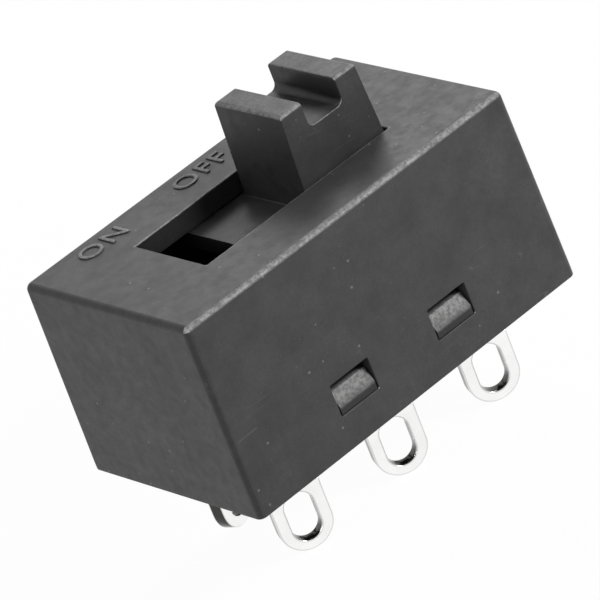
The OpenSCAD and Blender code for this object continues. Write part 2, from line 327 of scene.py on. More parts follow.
def noise(tree, vector, scale, detail=3.0, roughness=0.5):
    """A noise value from 0 to 1 with its features 1/scale metres apart."""
    inputs = {"Vector": vector, "Scale": scale, "Detail": detail, "Roughness": roughness}
    return add(tree, "ShaderNodeTexNoise", inputs).outputs["Fac"]


def blend_colour(tree, factor, first, second):
    """first where factor is 0 and second where it is 1."""
    return add(tree, "ShaderNodeMix", {0: factor, 6: first, 7: second}, data_type="RGBA").outputs[2]


def rgba(colour_value, level=1.0):
    """A colour property as four numbers, made brighter or darker by level."""
    return tuple(min(1.0, part * level) for part in colour_value) + (1.0,)


def new_material(name):
    """An empty material and its tree."""
    material = bpy.data.materials.new(name)
    material.use_nodes = True
    material.node_tree.nodes.clear()
    return material, material.node_tree


def end_material(tree, inputs):
    """Ends a material with a Principled shader."""
    shader = add(tree, "ShaderNodeBsdfPrincipled", inputs)
    add(tree, "ShaderNodeOutputMaterial", {"Surface": shader.outputs[0]})


def spot_and_facing(tree):
    """X, Y and Z of the place of each point of a piece, and of the way its surface faces there."""
    outputs = add(tree, "ShaderNodeTexCoord").outputs
    parts = [add(tree, "ShaderNodeSeparateXYZ", {0: outputs[name]}) for name in ("Object", "Normal")]
    return parts[0].outputs, parts[1].outputs


def beyond(tree, value, low, high, to_high=1.0):
    """Rises from 0 to to_high as the size of value, whatever its sign, goes from low to high."""
    return remap(tree, maths(tree, "ABSOLUTE", value), low, high, 0.0, to_high)


def within(tree, value, low, high):
    """Falls from 1 to 0 as the size of value, whatever its sign, goes from low to high."""
    return maths(tree, "SUBTRACT", 1.0, beyond(tree, value, low, high))


def edge_mask(tree):
    """1 on rounded edges and 0 on the flat faces of a box-shaped moulding."""
    sizes = [maths(tree, "ABSOLUTE", part) for part in spot_and_facing(tree)[1]]
    return remap(tree, largest(tree, *sizes), 0.985, 0.86)


def speck_mask(tree, where, spacing, radius):
    """1 on small round specks that lie about spacing apart, in patches."""
    cells = add(tree, "ShaderNodeTexVoronoi", {"Vector": where, "Scale": 1 / spacing})
    size = radius / spacing
    spots = remap(tree, cells.outputs["Distance"], size, size * 0.55)
    patches = remap(tree, noise(tree, where, SPECK_PATCHES, 2.0), 0.5, 0.53)
    return times(tree, spots, patches)


def scratch_mask(tree, where):
    """1 along thin straight scratches that run in one direction."""
    inputs = {"Vector": where, "Rotation": (0.2, 0.3, 0.5), "Scale": (60.0, 1700.0, 900.0)}
    stretched = add(tree, "ShaderNodeMapping", inputs).outputs[0]
    lines = maths(tree, "ABSOLUTE", maths(tree, "SUBTRACT", noise(tree, stretched, 1.0, 1.0), 0.5))
    thin = remap(tree, lines, 0.006, 0.0)
    return times(tree, thin, remap(tree, noise(tree, where, SCRATCH_PATCHES, 1.0), 0.6, 0.66))


def painted_corner_highlights(tree):
    """Painted highlight: 2, and so fully pale, on rounded corners that face left, forwards and up together.
    """
    facing = spot_and_facing(tree)[1]
    leftwards = times(tree, facing[0], -1.0)
    forwards = times(tree, facing[1], -1.0)
    least = maths(tree, "MINIMUM", maths(tree, "MINIMUM", leftwards, forwards), facing[2])
    return remap(tree, least, 0.18, 0.45, 0.0, 2.0)


def housing_painted_highlights(tree):
    """Painted highlights: pale on the long edges of the top, on the rim of its slot and on the letters."""
    spot, facing = spot_and_facing(tree)
    slope = times(tree, maths(tree, "ABSOLUTE", facing[1]), facing[2])
    upper = remap(tree, spot[2], TOP_HEIGHT - 0.002, TOP_HEIGHT - 0.001)
    edges = times(tree, remap(tree, slope, 0.22, 0.47, 0.0, 0.8), upper)
    across = within(tree, spot[1], SLOT_HALF_WIDTH + 0.00008, SLOT_HALF_WIDTH + 0.00016)
    along = within(tree, spot[0], SLOT_HALF_LENGTH + 0.00008, SLOT_HALF_LENGTH + 0.00016)
    outside = beyond(tree, spot[1], SLOT_HALF_WIDTH - 0.0001, SLOT_HALF_WIDTH - 0.00002)
    top = remap(tree, spot[2], TOP_HEIGHT - 0.0001, TOP_HEIGHT, 0.0, 0.5)
    rim = times(tree, across, along, outside, top)
    letters = remap(tree, spot[2], TOP_HEIGHT + 0.00004, TOP_HEIGHT + 0.0001, 0.0, 0.45)
    return largest(tree, rim, letters, painted_corner_highlights(tree), edges)


def shaded_housing(tree):
    """Painted shade: 1 on the walls of the slot, and less on the rounded upright and end edges."""
    spot, facing = spot_and_facing(tree)
    across = within(tree, spot[1], SLOT_HALF_WIDTH + 0.0002, SLOT_HALF_WIDTH + 0.0005)
    along = within(tree, spot[0], SLOT_HALF_LENGTH + 0.00145, SLOT_HALF_LENGTH + 0.00245)
    above = remap(tree, spot[2], TOP_HEIGHT - 0.0045, TOP_HEIGHT - 0.004)
    slot_walls = times(tree, across, along, above, within(tree, facing[2], 0.3, 0.6))
    rounded = times(tree, edge_mask(tree), beyond(tree, facing[0], 0.2, 0.5, 0.8))
    return largest(tree, slot_walls, rounded)


def hook_ramp_painted_highlights(tree):
    """Painted highlight: pale on the ramps of the hooks."""
    spot, facing = spot_and_facing(tree)
    outward = beyond(tree, spot[1], HOOK_RAMP_FOOT - 0.0004, HOOK_RAMP_FOOT)
    return times(tree, outward, remap(tree, facing[2], 0.25, 0.45, 0.0, 0.62))


def shaded_base(tree):
    """1 on the upright faces of the hooks, which lie in the shade of the windows."""
    spot, facing = spot_and_facing(tree)
    outward = beyond(tree, spot[1], HOOK_RAMP_FOOT, HOOK_RAMP_FOOT + 0.0004)
    return times(tree, outward, within(tree, facing[2], 0.2, 0.4))


def tip_wear_and_painted_highlights(tree):
    """Pale on the tips of the prongs, where a button rubs them, and painted highlights on the slider's outer
    edges and corners.
    """
    spot, facing = spot_and_facing(tree)
    tips = remap(tree, spot[2], KNOB_TOP - 0.0003, KNOB_TOP - 0.0001, 0.0, 0.12)
    above_groove = remap(tree, spot[2], KNOB_TOP - 0.0008, KNOB_TOP - 0.0005)
    in_front = remap(tree, facing[1], -0.15, -0.4, 0.0, 2.0)
    free_end = remap(tree, spot[0], -0.0005, -0.001)
    outer = largest(tree, above_groove, in_front, free_end)
    upward = times(tree, edge_mask(tree), remap(tree, facing[2], 0.15, 0.4, 0.0, 0.4))
    ends = times(tree, outer, remap(tree, facing[0], -0.3, -0.5, 1.0, 1.9))
    return largest(tree, tips, times(tree, upward, ends), painted_corner_highlights(tree))


def shaded_slider(tree):
    """Painted shade: 1 on the end faces of the knob at its foot, and less towards its top."""
    spot, facing = spot_and_facing(tree)
    ends = beyond(tree, facing[0], 0.8, 0.95)
    return times(tree, ends, remap(tree, spot[2], KNOB_TOP, TOP_HEIGHT, 0.45, 1.0))


# Gloss, shift of the patterns, strength of the highlights, and the masks of the places with painted
# highlights, partly wear, and of those with painted shade.
PLASTICS = {
    "housing": (0.5, 0.13, 0.35, housing_painted_highlights, shaded_housing),
    "base": (0.55, 0.31, 0.3, hook_ramp_painted_highlights, shaded_base),
    "slider": (0.48, 0.47, 0.28, tip_wear_and_painted_highlights, shaded_slider),
}


def moulded_plastic(part):
    """Satin plastic of a moulding, made once: cloudy, grained, and worn, scratched and specked, with painted
    highlights and painted shade.
    """
    name = f"{part}_moulding"
    if name in bpy.data.materials:
        return bpy.data.materials[name]
    gloss, shift, highlights, rubbed_and_highlight, shaded = PLASTICS[part]
    finish = settings().finish
    tone = getattr(finish, part)
    material, tree = new_material(name)
    where = add(tree, "ShaderNodeTexCoord").outputs["Object"]
    inputs = {"Vector": where, "Location": (shift, 2 * shift, 3 * shift)}
    where = add(tree, "ShaderNodeMapping", inputs).outputs[0]

    clouds = remap(tree, noise(tree, where, CLOUDS, 5.0, 0.62), NOISE_LOW, NOISE_HIGH)
    body = blend_colour(tree, clouds, rgba(tone, 1.0 - finish.mottling), rgba(tone, 1.0 + finish.mottling))
    grain = noise(tree, where, GRAIN, 3.0, 0.6)
    body = blend_colour(tree, remap(tree, grain, NOISE_LOW, NOISE_HIGH, 0.0, 0.5), body, rgba(tone, 0.66))

    worn = remap(tree, noise(tree, where, EDGE_WEAR, 4.0, 0.7), 0.35, 0.62)
    worn = times(tree, edge_mask(tree), worn)
    body = blend_colour(tree, times(tree, worn, finish.wear), body, rgba(tone, 3.2))
    # Painted shade: darker in the slot, at the knob's foot, on the upright faces of the hooks and on rounded
    # edges.
    painted_shade = times(tree, shaded(tree), finish.edge_shade)
    body = blend_colour(tree, painted_shade, body, rgba(tone, 0.15))
    # Painted highlights, with real wear on the prong tips, in the pale rubbed colour.
    crumbs = remap(tree, noise(tree, where, CRUMBS, 4.0, 0.75), 0.42, 0.6, 0.4, 1.0)
    pale_wear_and_highlights = times(tree, rubbed_and_highlight(tree), crumbs, finish.scuffing_and_highlights)
    body = blend_colour(tree, pale_wear_and_highlights, body, rgba(finish.rubbed_and_highlight))

    specks = speck_mask(tree, where, 0.0011, 0.00012)
    dust = speck_mask(tree, where, 0.0005, 0.00005)
    scratches = scratch_mask(tree, where)
    pale = largest(tree, specks, times(tree, dust, 0.4), times(tree, scratches, 0.35))
    body = blend_colour(tree, times(tree, pale, 0.55), body, rgba(finish.speck))

    patches = noise(tree, where, GLOSS_PATCHES, 3.0)
    rough = remap(tree, patches, NOISE_LOW, NOISE_HIGH, gloss - 0.07, gloss + 0.07)
    rough = maths(tree, "SUBTRACT", rough, times(tree, worn, 0.12))
    height = maths(tree, "ADD", grain, times(tree, pale, 1.2))
    height = maths(tree, "ADD", height, times(tree, noise(tree, where, WAVES, 2.0), 1.5))
    bump = add(tree, "ShaderNodeBump", {"Strength": 0.22, "Distance": 0.00002, "Height": height})
    end_material(tree, {
        "Base Color": body,
        "Roughness": rough,
        "Normal": bump.outputs[0],
        "Specular IOR Level": highlights,
    })
    return material


def metal(name, tone, gloss, grain_scale, dull=0.82, cut=None):
    """Drawn or plated metal with fine lines, faint stains and a slightly uneven gloss.

    cut is the colour of the edges that the attribute sheared marks: sheared metal, darkened further as
    painted dark reflection.
    """
    material, tree = new_material(name)
    where = add(tree, "ShaderNodeTexCoord").outputs["Object"]
    stains = remap(tree, noise(tree, where, STAINS, 4.0, 0.6), 0.35, 0.7)
    surface = blend_colour(tree, stains, rgba(tone), rgba(tone, dull))
    if cut is not None:
        sheared = add(tree, "ShaderNodeAttribute", attribute_name="sheared").outputs["Fac"]
        surface = blend_colour(tree, sheared, surface, rgba(cut))
    inputs = {"Vector": where, "Scale": (grain_scale, grain_scale, grain_scale * 0.08)}
    stretched = add(tree, "ShaderNodeMapping", inputs).outputs[0]
    lines = noise(tree, stretched, 1.0, 2.0)
    patches = noise(tree, where, METAL_GLOSS_PATCHES, 3.0)
    rough = remap(tree, patches, NOISE_LOW, NOISE_HIGH, gloss - 0.05, gloss + 0.06)
    bump = add(tree, "ShaderNodeBump", {"Strength": 0.12, "Distance": 0.000008, "Height": lines})
    end_material(tree, {
        "Base Color": surface,
        "Roughness": rough,
        "Normal": bump.outputs[0],
        "Metallic": 1.0,
    })
    return material


# ---- Meshes ----


def piece_from_bmesh(name, shape, material, smooth_angle=None):
    """A new object at the origin from a bmesh, which is freed."""
    mesh = bpy.data.meshes.new(name)
    shape.to_mesh(mesh)
    shape.free()
    piece = bpy.data.objects.new(name, mesh)
    bpy.context.scene.collection.objects.link(piece)
    mesh.materials.append(material)
    if smooth_angle is not None:
        mesh.shade_smooth()
        mesh.set_sharp_from_angle(angle=smooth_angle)
    return piece


def welded_copy(node):
    """A bmesh of a CAD node with its triangles merged into whole faces."""
    shape = bmesh.new()
    shape.from_mesh(frame["nodes"][node].data)
    bmesh.ops.remove_doubles(shape, verts=shape.verts, dist=WELD)
    bmesh.ops.dissolve_limit(shape, angle_limit=SAME_PLANE, verts=shape.verts, edges=shape.edges)
    return shape


def flatten_shading(piece):
    """Keeps the shading of flat faces flat, and bends it across the narrow faces between them."""
    shading = piece.modifiers.new("flat_faces_first", "WEIGHTED_NORMAL")
    shading.weight = FLAT_FACE_WEIGHT


def settle(piece):
    """Turns a piece's modifiers into plain mesh."""
    graph = bpy.context.evaluated_depsgraph_get()
    mesh = bpy.data.meshes.new_from_object(
        piece.evaluated_get(graph), preserve_all_data_layers=True, depsgraph=graph
    )
    old = piece.data
    piece.modifiers.clear()
    piece.data = mesh
    mesh.name = piece.name
    bpy.data.meshes.remove(old)


def attach(piece, body, slot_name, *nodes):
    """Makes a piece ride on a body and stand for CAD nodes, which it hides; slot_name is not used."""
    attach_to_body(piece, body)
    if nodes:
        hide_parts(*nodes)


def moulding(name, part, body, edge, steps):
    """The welded copy of a CAD moulding with its sharp edges rounded, in its plastic and on its body."""
    piece = piece_from_bmesh(name, welded_copy(part), moulded_plastic(part), MOULDED_CORNER)
    rounding = piece.modifiers.new("rounded_edges", "BEVEL")
    rounding.width = edge
    rounding.segments = steps
    rounding.limit_method = "ANGLE"
    rounding.angle_limit = MOULDED_CORNER
    rounding.miter_outer = "MITER_ARC"
    flatten_shading(piece)
    attach(piece, body, f"{part}_plastic", part)


# ---- Terminals ----


def even_steps(start, reach, steps):
    """Values from start on, evenly spaced over reach."""
    return [start + reach * i / steps for i in range(steps + 1)]


def half_turn(centre_v, radius, start, steps):
    """Points of half a circle round u = 0, from the angle start on, anticlockwise."""
    turns = [start + math.pi * i / steps for i in range(steps + 1)]
    return [(radius * math.cos(turn), centre_v + radius * math.sin(turn)) for turn in turns]


class LugPattern:
    """Flat pattern of a terminal.

    u runs across the strip, and v from the tip of the lug to the end of the pad.
    """

    def __init__(self, sizes):
        self.sizes = sizes
        self.half_width = sizes.width / 2
        self.bend_start = LUG_HIGH.z - sizes.thickness - sizes.bend_radius
        bend_length = math.pi / 2 * (sizes.bend_radius + sizes.thickness / 2)
        self.bend_end = self.bend_start + bend_length
        self.turn_y = LUG_ROW + sizes.thickness / 2 + sizes.bend_radius
        self.end = self.bend_end + LUG_HIGH.y - self.turn_y
        self.stud_v = self.bend_end + (STUD_LOW.y + STUD_HIGH.y) / 2 - self.turn_y
        self.rows = even_steps(sizes.twist_start, sizes.twist_end - sizes.twist_start, sizes.twist_steps)
        self.rows += even_steps(self.bend_start, bend_length, sizes.bend_steps)

    def outline(self, inset):
        """The outer edge moved inwards by inset, anticlockwise."""
        side = self.half_width - inset
        points = half_turn(self.half_width, side, math.pi, self.sizes.arc_steps)
        return points + [(side, self.end - inset), (-side, self.end - inset)]

    def wire_hole(self, inset):
        """The edge of the wire hole moved outwards by inset."""
        radius = self.sizes.hole_width / 2
        low = self.sizes.hole_margin + radius
        high = self.sizes.hole_margin + self.sizes.hole_length - radius
        steps = self.sizes.arc_steps // 2
        reach = radius + inset
        return half_turn(low, reach, math.pi, steps) + half_turn(high, reach, 0.0, steps)

    def shank_hole(self, inset):
        """The edge of the hole for the stud moved outwards by inset."""
        steps = self.sizes.arc_steps // 2
        reach = self.sizes.shank_hole / 2 + inset
        round_hole = half_turn(self.stud_v, reach, math.pi, steps)
        return round_hole[:-1] + half_turn(self.stud_v, reach, 0.0, steps)[:-1]

    def formed(self, u, depth, v, centre_x, side):
        """The place of a point of the pattern on the twisted and bent terminal, depth into the metal."""
        sizes = self.sizes
        if v <= self.bend_start:
            across = sizes.thickness / 2 - depth
            part = min(max((sizes.twist_end - v) / (sizes.twist_end - sizes.twist_start), 0.0), 1.0)
            turn = sizes.twist * part * part * (3 - 2 * part)
            x = u * math.cos(turn) - across * math.sin(turn)
            y = LUG_ROW + u * math.sin(turn) + across * math.cos(turn)
            z = v
        else:
            x = u
            turn = min((v - self.bend_start) / (self.bend_end - self.bend_start), 1.0) * math.pi / 2
            reach = sizes.bend_radius + depth
            y = self.turn_y - reach * math.cos(turn) + max(v - self.bend_end, 0.0)
            z = self.bend_start + reach * math.sin(turn)
        return Vector((centre_x + x, side * y, z))

    def edge_profile(self):
        """Inset and depth of each ring of vertices, from the outward face to the inward one."""
        roll, burr, thick = self.sizes.die_roll, self.sizes.burr_edge, self.sizes.thickness
        turns = even_steps(0.0, math.pi / 2, self.sizes.edge_steps)
        rings = [(roll * (1 - math.sin(t)), roll * (1 - math.cos(t))) for t in turns]
        rings += [(burr * (1 - math.cos(t)), thick - burr * (1 - math.sin(t))) for t in turns]
        return rings


def fill_round_holes(shape, loops, verts):
    """Fills the flat area between a convex border, the first of the loops, and the convex holes in it."""
    points = [Vector(point) for loop in loops for point in loop]
    owner = [index for index, loop in enumerate(loops) for point in loop]
    edges = []
    for loop in loops:
        first = len(edges)
        edges += [(first + i, first + (i + 1) % len(loop)) for i in range(len(loop))]
    filled = delaunay_2d_cdt(points, edges, [], 1, WELD / 10)
    for face in filled[2]:
        corners = [filled[3][corner][0] for corner in face]
        owners = {owner[corner] for corner in corners}
        if len(owners) > 1 or owners == {0}:
            shape.faces.new([verts[corner] for corner in corners])


def stamped_lug(pattern, centre_x, side):
    """A bmesh of one terminal: stamped flat, cut across where it turns, then twisted and bent."""
    shape = bmesh.new()
    sheared = shape.loops.layers.float.new("sheared")
    profile = pattern.edge_profile()
    edges = (pattern.outline, pattern.wire_hole, pattern.shank_hole)
    wall = len(profile) // 2 - 1
    all_rings = []
    for edge in edges:
        rings = [[shape.verts.new((u, depth, v)) for u, v in edge(inset)] for inset, depth in profile]
        points = len(rings[0])
        for k in range(len(rings) - 1):
            for i in range(points):
                j = (i + 1) % points
                face = shape.faces.new((rings[k][i], rings[k][j], rings[k + 1][j], rings[k + 1][i]))
                for loop in face.loops:
                    # The walls of the holes get the full painted dark reflection, the rounded edges a
                    # little.
                    loop[sheared] = 1.0 if k == wall else 0.25
        all_rings.append(rings)
    for end in (0, -1):
        loops = [edge(profile[end][0]) for edge in edges]
        fill_round_holes(shape, loops, [vert for rings in all_rings for vert in rings[end]])
    for v in pattern.rows:
        bmesh.ops.bisect_plane(
            shape, geom=shape.verts[:] + shape.edges[:] + shape.faces[:], dist=WELD / 10,
            plane_co=(0.0, 0.0, v), plane_no=(0.0, 0.0, 1.0),
        )
    for vert in shape.verts:
        vert.co = pattern.formed(*vert.co, centre_x, side)
    bmesh.ops.recalc_face_normals(shape, faces=shape.faces)
    if shape.calc_volume(signed=True) < 0.0:
        bmesh.ops.reverse_faces(shape, faces=shape.faces)
    return shape


# ---- Geometry Nodes ----


def new_tree(name, inputs):
    """A geometry tree with named inputs; inputs gives the kind of each."""
    tree = bpy.data.node_groups.new(name, "GeometryNodeTree")
    for label, kind in inputs.items():
        tree.interface.new_socket(label, in_out="INPUT", socket_type=f"NodeSocket{kind}")
    tree.interface.new_socket("Geometry", in_out="OUTPUT", socket_type="NodeSocketGeometry")
    return tree, add(tree, "NodeGroupInput"), add(tree, "NodeGroupOutput")


def finish_tree(tree, source, result, geometry):
    """Ends a tree with smooth shading, Realize Instances and Set Material."""
    smooth = add(tree, "GeometryNodeSetShadeSmooth", {"Geometry": geometry})
    real = add(tree, "GeometryNodeRealizeInstances", {"Geometry": smooth.outputs[0]})
    inputs = {"Geometry": real.outputs[0], "Material": source.outputs["Material"]}
    done = add(tree, "GeometryNodeSetMaterial", inputs)
    tree.links.new(done.outputs[0], result.inputs[0])


def grown_piece(name, tree, values):
    """The plain mesh that a geometry tree makes from these values, as a new piece."""
    piece = bpy.data.objects.new(name, bpy.data.meshes.new(name))
    bpy.context.scene.collection.objects.link(piece)
    modifier = piece.modifiers.new("build", "NODES")
    modifier.node_group = tree
    sockets = [item for item in tree.interface.items_tree if item.in_out == "INPUT"]
    identifiers = {socket.name: socket.identifier for socket in sockets}
    for label, value in values.items():
        modifier[identifiers[label]] = value
    piece.data.update()
    settle(piece)
    return piece


def coil_tree():
    """Tree of a coil spring with a closed turn at each end, wound round the Z axis."""
    if "coil_spring" in bpy.data.node_groups:
        return bpy.data.node_groups["coil_spring"]
    tree, source, result = new_tree("coil_spring", {
        "Coil Radius": "Float",
        "Wire Diameter": "Float",
        "Turns": "Int",
        "Steps": "Int",
        "Wire Sides": "Int",
        "End Pitch": "Float",
        "Bottom": "Vector",
        "Rise": "Float",
        "Material": "Material",
    })
    get = source.outputs
    points = maths(tree, "MULTIPLY_ADD", get["Turns"], get["Steps"], 1.0)
    line = add(tree, "GeometryNodeMeshLine", {"Count": points})
    path = add(tree, "GeometryNodeMeshToCurve", {"Mesh": line.outputs[0]})
    turn = maths(tree, "DIVIDE", add(tree, "GeometryNodeInputIndex").outputs[0], get["Steps"])
    around = times(tree, turn, math.tau)
    middle_turns = maths(tree, "SUBTRACT", get["Turns"], 2.0)
    ends = times(tree, get["End Pitch"], 2.0)
    middle_pitch = maths(tree, "DIVIDE", maths(tree, "SUBTRACT", get["Rise"], ends), middle_turns)
    first = maths(tree, "MINIMUM", turn, 1.0)
    middle = maths(tree, "MAXIMUM", maths(tree, "SUBTRACT", turn, 1.0), 0.0)
    middle = maths(tree, "MINIMUM", middle, middle_turns)
    last = maths(tree, "SUBTRACT", maths(tree, "SUBTRACT", turn, middle_turns), 1.0)
    last = maths(tree, "MAXIMUM", last, 0.0)
    closed = times(tree, maths(tree, "ADD", first, last), get["End Pitch"])
    lift = maths(tree, "MULTIPLY_ADD", middle, middle_pitch, closed)
    x = times(tree, maths(tree, "COSINE", around), get["Coil Radius"])
    y = times(tree, maths(tree, "SINE", around), get["Coil Radius"])
    spot = add(tree, "ShaderNodeCombineXYZ", {"X": x, "Y": y, "Z": lift})
    shifted = add(tree, "ShaderNodeVectorMath", {0: spot.outputs[0], 1: get["Bottom"]})
    inputs = {"Geometry": path.outputs[0], "Position": shifted.outputs[0]}
    placed = add(tree, "GeometryNodeSetPosition", inputs)
    radius = times(tree, get["Wire Diameter"], 0.5)
    wire = add(tree, "GeometryNodeCurvePrimitiveCircle", {"Resolution": get["Wire Sides"], "Radius": radius})
    sweep = {"Curve": placed.outputs[0], "Profile Curve": wire.outputs[0], "Fill Caps": True}
    coil = add(tree, "GeometryNodeCurveToMesh", sweep)
    finish_tree(tree, source, result, coil.outputs[0])
    return tree


def stud_tree():
    """Tree of a riveted stud: a disc that is drawn up ring by ring along its outline."""
    if "contact_stud" in bpy.data.node_groups:
        return bpy.data.node_groups["contact_stud"]
    tree, source, result = new_tree("contact_stud", {
        "Sides": "Int",
        "Head Radius": "Float",
        "Shank Radius": "Float",
        "Shank Length": "Float",
        "Wall Height": "Float",
        "Dome Height": "Float",
        "Foot": "Vector",
        "Material": "Material",
    })
    get = source.outputs
    disc = add(
        tree, "GeometryNodeMeshCircle", {"Vertices": get["Sides"], "Radius": get["Shank Radius"]},
        fill_type="NGON",
    )
    geometry = disc.outputs[0]
    top = None
    spread = maths(tree, "DIVIDE", get["Head Radius"], get["Shank Radius"])
    # Rise and scale of each ring: the shank, the underside of the head, its wall and its dome.
    rings = [(get["Shank Length"], 1.0), (0.0, times(tree, spread, UNDER_HEAD))]
    for rise, scale in ((0.2, 1 / UNDER_HEAD), (0.6, 1.0), (0.2, DOME_RIM)):
        rings.append((times(tree, get["Wall Height"], rise), scale))
    reach = DOME_RIM
    for part in (0.8, 0.6, 0.4, 0.2, 0.04):
        rise = (reach ** 2 - part ** 2) / DOME_RIM ** 2
        rings.append((times(tree, get["Dome Height"], rise), part / reach))
        reach = part
    up = (0.0, 0.0, 1.0)
    for rise, scale in rings:
        inputs = {"Mesh": geometry, "Offset": up, "Offset Scale": rise, "Individual": False}
        if top is not None:
            inputs["Selection"] = top
        drawn = add(tree, "GeometryNodeExtrudeMesh", inputs, mode="FACES")
        top = drawn.outputs["Top"]
        inputs = {"Geometry": drawn.outputs["Mesh"], "Selection": top, "Scale": scale}
        geometry = add(tree, "GeometryNodeScaleElements", inputs).outputs[0]
    underside = add(tree, "GeometryNodeFlipFaces", {"Mesh": disc.outputs[0]})
    joined = add(tree, "GeometryNodeJoinGeometry")
    tree.links.new(geometry, joined.inputs[0])
    tree.links.new(underside.outputs[0], joined.inputs[0])
    closed = add(tree, "GeometryNodeMergeByDistance", {"Geometry": joined.outputs[0], "Distance": WELD})
    moved = add(tree, "GeometryNodeTransform", {"Geometry": closed.outputs[0], "Translation": get["Foot"]})
    finish_tree(tree, source, result, moved.outputs[0])
    return tree


# ---- Operators ----


class SLIDESWITCH_OT_housing(bpy.types.Operator):
    """Build the black housing with its slot and latch windows"""

    bl_idname = "slide_switch.housing"
    bl_label = "Housing"

    def execute(self, context):
        sizes = settings().moulding
        moulding("housing_shell", "housing", CASE, sizes.housing_edge, sizes.edge_steps)
        return {"FINISHED"}


class SLIDESWITCH_OT_legend(bpy.types.Operator):
    """Raise the position words along the far edge of the housing"""

    bl_idname = "slide_switch.legend"
    bl_label = "Legend"

    def execute(self, context):
        sizes = settings().moulding
        line_y = HOUSING_HIGH.y - sizes.legend_margin
        words = (sizes.legend_left, sizes.legend_middle, sizes.legend_right)
        shape = bmesh.new()
        for step, word in zip((-1, 0, 1), words):
            curve = bpy.data.curves.new("word", "FONT")
            curve.body = word
            curve.size = sizes.legend_height / CAPITAL_HEIGHT
            curve.align_x = "CENTER"
            curve.align_y = "CENTER"
            curve.space_character = LETTER_SPACING
            curve.extrude = sizes.legend_relief
            curve.bevel_depth = sizes.legend_relief * LETTER_BEVEL
            curve.bevel_resolution = 1
            curve.offset = -sizes.legend_relief * LETTER_THINNING
            text = bpy.data.objects.new("word", curve)
            context.scene.collection.objects.link(text)
            graph = context.evaluated_depsgraph_get()
            mesh = bpy.data.meshes.new_from_object(text.evaluated_get(graph))
            place = (step * sizes.legend_spacing, line_y, TOP_HEIGHT - sizes.legend_relief / 2)
            mesh.transform(Matrix.Translation(place))
            shape.from_mesh(mesh)
            bpy.data.objects.remove(text)
            bpy.data.meshes.remove(mesh)
        bmesh.ops.remove_doubles(shape, verts=shape.verts, dist=WELD)
        bmesh.ops.recalc_face_normals(shape, faces=shape.faces)
        plastic = moulded_plastic("housing")
        piece = piece_from_bmesh("position_legend", shape, plastic, LETTER_CORNER)
        attach(piece, CASE, "housing_plastic")
        return {"FINISHED"}


class SLIDESWITCH_OT_base(bpy.types.Operator):
    """Build the base with its hooks and the bosses round the lugs"""

    bl_idname = "slide_switch.base"
    bl_label = "Base"

    def execute(self, context):
        sizes = settings().moulding
        moulding("base_moulding", "base", CASE, sizes.base_edge, sizes.base_steps)
        return {"FINISHED"}


class SLIDESWITCH_OT_slider(bpy.types.Operator):
    """Build the slider with its forked knob and contact carriers"""

    bl_idname = "slide_switch.slider"
    bl_label = "Slider"

    def execute(self, context):
        sizes = settings().moulding
        moulding("forked_slider", "slider", SLIDER_UNIT, sizes.slider_edge, sizes.edge_steps)
        return {"FINISHED"}


class SLIDESWITCH_OT_terminals(bpy.types.Operator):
    """Stamp and bend the six terminals"""

    bl_idname = "slide_switch.terminals"
    bl_label = "Terminals"

    def execute(self, context):
        pattern = LugPattern(settings().terminal)
        finish = settings().finish
        plate = metal("bright_tin_plate", finish.plating, 0.16, 9000, 0.93, finish.sheared_edge_and_dark_reflection)
        for row, side in ROWS.items():
            for place in PLACES:
                node = f"terminal_{row}_{place}"
                low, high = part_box(node)
                shape = stamped_lug(pattern, (low.x + high.x) / 2, side)
                piece = piece_from_bmesh(f"solder_lug_{row}_{place}", shape, plate, STAMPED_CORNER)
                flatten_shading(piece)
                attach(piece, CASE, "plated_brass", node)
        return {"FINISHED"}


class SLIDESWITCH_OT_studs(bpy.types.Operator):
    """Rivet a contact stud into each terminal"""

    bl_idname = "slide_switch.studs"
    bl_label = "Contact studs"

    def execute(self, context):
        sizes = settings().stud
        silver = metal("contact_silver", settings().finish.silver, 0.22, 14000)
        head = sizes.head_diameter / 2
        dome = sizes.dome_radius - math.sqrt(sizes.dome_radius ** 2 - head ** 2)
        for row in ROWS:
            for place in PLACES:
                node = f"stud_{row}_{place}"
                low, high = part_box(node)
                middle = (low + high) / 2
                piece = grown_piece(f"contact_stud_{row}_{place}", stud_tree(), {
                    "Sides": sizes.sides,
                    "Head Radius": head,
                    "Shank Radius": sizes.shank_diameter / 2,
                    "Shank Length": high.z - low.z - sizes.head_height,
                    "Wall Height": sizes.head_height - dome,
                    "Dome Height": dome,
                    "Foot": (middle.x, middle.y, low.z),
                    "Material": silver,
                })
                attach(piece, CASE, "contact_silver", node)
        return {"FINISHED"}


class SLIDESWITCH_OT_springs(bpy.types.Operator):
    """Wind the two contact springs and the detent spring"""

    bl_idname = "slide_switch.springs"
    bl_label = "Springs"

    def execute(self, context):
        sizes = settings().spring
        steel = metal("spring_wire", settings().finish.spring_steel, 0.3, 16000)
        wires = {
            "contact_spring_near": sizes.contact_wire,
            "contact_spring_far": sizes.contact_wire,
            "detent_spring": sizes.detent_wire,
        }
        for node, wire in wires.items():
            low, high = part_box(node)
            middle = (low + high) / 2
            piece = grown_piece(f"{node}_wire", coil_tree(), {
                "Coil Radius": (high.x - low.x - wire) / 2,
                "Wire Diameter": wire,
                "Turns": sizes.turns,
                "Steps": sizes.steps,
                "Wire Sides": sizes.wire_sides,
                "End Pitch": wire * (1 + sizes.closed_pitch),
                "Bottom": (middle.x, middle.y, low.z + wire / 2),
                "Rise": high.z - low.z - wire,
                "Material": steel,
            })
            attach(piece, SLIDER_UNIT, "spring_steel", node)
        return {"FINISHED"}


